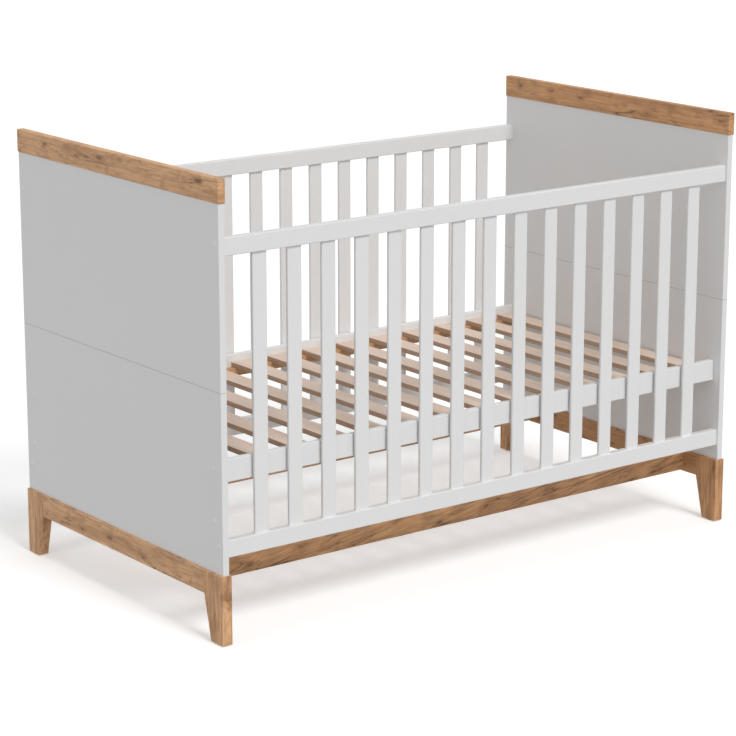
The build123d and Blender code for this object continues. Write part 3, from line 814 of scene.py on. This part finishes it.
ledger_low, ledger_high = np.array(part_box("front_ledger"))
ledger_mid = (ledger_low + ledger_high) / 2
slat_names = sorted(n for n in nodes if n.startswith("slat_"))
slat_x = np.array([sum(v.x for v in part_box(n)) / 2 for n in slat_names])
gap_x = ((slat_x[:-1] + slat_x[1:]) / 2)[::2]
down = [(x, s * -ledger_mid[1], ledger_low[2]) for s in SIDES for x in slat_x]
inward = [(x, s * -ledger_high[1], ledger_mid[2]) for s in SIDES for x in gap_x]
faces_down = np.array([[(1, 0, 0), (0, -1, 0), (0, 0, -1)]] * len(down), float)
sides_in = np.sign([y for _, y, _ in inward])
faces_in = np.array([((side, 0, 0), (0, 0, 1), (0, -side, 0)) for side in sides_in], float)
slat_screws, slat_faces = copies(*screw(SLAT_SCREW), np.array(down), faces_down)
ledger_screws, ledger_faces = copies(*screw(LEDGER_SCREW), np.array(inward), faces_in)
screws = new_piece(
    "base_screw_set",
    np.concatenate([slat_screws, ledger_screws]),
    np.concatenate([slat_faces, ledger_faces + len(slat_screws)]),
    screw_steel,
    "slatted_base",
)
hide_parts("base_screws")

# %% [markdown]
# ## The studio floor
# A catalogue crib stands on a white floor that runs on without an edge. A white floor would throw so
# much light back up that the crib's underside lost its shade. A Light Path node tells who is
# looking: the camera, and rays in gloss or glass, see a white floor that keeps the crib's shadow.
# Light that bounces meets a dark floor with an even glow of its own, which keeps the underside lit
# and the colours clean.

# %% Floor
WHITE = (1.0, 1.0, 1.0, 1.0)
FLOOR_REACH, FLOOR_DROP = 60.0, 0.0003
FLOOR_SEEN = (0.90, 0.90, 0.90, 1.0)
FLOOR_DIM, FLOOR_DIMMEST = (0.09, 0.09, 0.09, 1.0), (0.07, 0.07, 0.07, 1.0)
FLOOR_GLOW, LESS_IN_VIEW = 0.375, 0.06


def in_view(tree):
    """1 for rays from the camera, or in gloss or glass, and 0 for light that bounces."""
    rays = put(tree, "ShaderNodeLightPath").outputs
    mirrored = sums(tree, "MAXIMUM", rays["Is Glossy Ray"], rays["Is Transmission Ray"])
    return sums(tree, "MAXIMUM", rays["Is Camera Ray"], mirrored)


corners = FLOOR_REACH * np.array([(-1, -1, 0), (1, -1, 0), (1, 1, 0), (-1, 1, 0)], float)
corners[:, 2] = -FLOOR_DROP
floor_mesh = bpy.data.meshes.new("studio_floor")
floor_mesh.from_pydata(corners.tolist(), [], [(0, 1, 2, 3)])
floor = bpy.data.objects.new("studio_floor", floor_mesh)
bpy.context.scene.collection.objects.link(floor)

paper, tree, shader = new_material("studio_paper")
tree.nodes.remove(shader)
seen = in_view(tree)
tooth = cloudy(tree, put(tree, "ShaderNodeTexCoord").outputs["Object"], 3.0, detail=2.0)
bounce = blended(tree, tooth, FLOOR_DIMMEST, FLOOR_DIM)
matt = put(tree, "ShaderNodeBsdfDiffuse", {"Color": blended(tree, seen, bounce, FLOOR_SEEN)})
level = minus(tree, FLOOR_GLOW, times(tree, seen, LESS_IN_VIEW))
glow = put(tree, "ShaderNodeEmission", {"Color": WHITE, "Strength": level})
both = put(tree, "ShaderNodeAddShader", {0: matt.outputs[0], 1: glow.outputs[0]})
fill(tree, tree.nodes["Material Output"], {"Surface": both.outputs[0]})
floor_mesh.materials.append(paper)
print("floor of", 2 * FLOOR_REACH, "m")

# %% [markdown]
# ## Sky and lamp
# Studio light on white furniture is soft and comes mostly from the sides of the room. Several big
# lamps would do it, but a sky lights everything at once and can't show as a reflected square. It is
# brighter near the horizon than overhead, and brighter on the left, where the end wall needs it. One
# wide lamp, straight in front and halfway up, gives the barred front its bright faces and the bed its
# soft shadow. As with the floor, the camera sees the sky as pure white, while the crib is lit by a
# dimmer one.

# %% Sky and lamp
HORIZON, ZENITH = (0.70, 0.70, 0.70, 1.0), (0.295, 0.295, 0.295, 1.0)
LEFT_GLOW = (0.215, 0.215, 0.215, 1.0)
LAMP_ENERGY = 1.61
LAMP_WIDTH = np.radians(20.0)
LAMP_FROM_ABOVE = np.radians(43.0)

sky = bpy.data.worlds.new("studio_sky")
bpy.context.scene.world = sky
sky.use_nodes = True
tree = sky.node_tree
way = axes_of(tree, put(tree, "ShaderNodeTexCoord").outputs["Generated"])
overhead = sums(tree, "MULTIPLY", way[2], 1.0, clamp=True)
leftward = sums(tree, "MULTIPLY", way[0], -1.0, clamp=True)
dome = blended(tree, overhead, HORIZON, ZENITH)
dome = blended(tree, leftward, dome, LEFT_GLOW, "ADD")
air = {"Color": blended(tree, in_view(tree), dome, WHITE), "Strength": 1.0}
fill(tree, tree.nodes["Background"], air)

lamp = bpy.data.objects.new("key_light", bpy.data.lights.new("key_light", "SUN"))
lamp.data.energy = LAMP_ENERGY
lamp.data.angle = LAMP_WIDTH
lamp.rotation_euler = Euler((LAMP_FROM_ABOVE, 0.0, 0.0), "XYZ")
bpy.context.scene.collection.objects.link(lamp)
print("sky and one lamp of", LAMP_ENERGY)
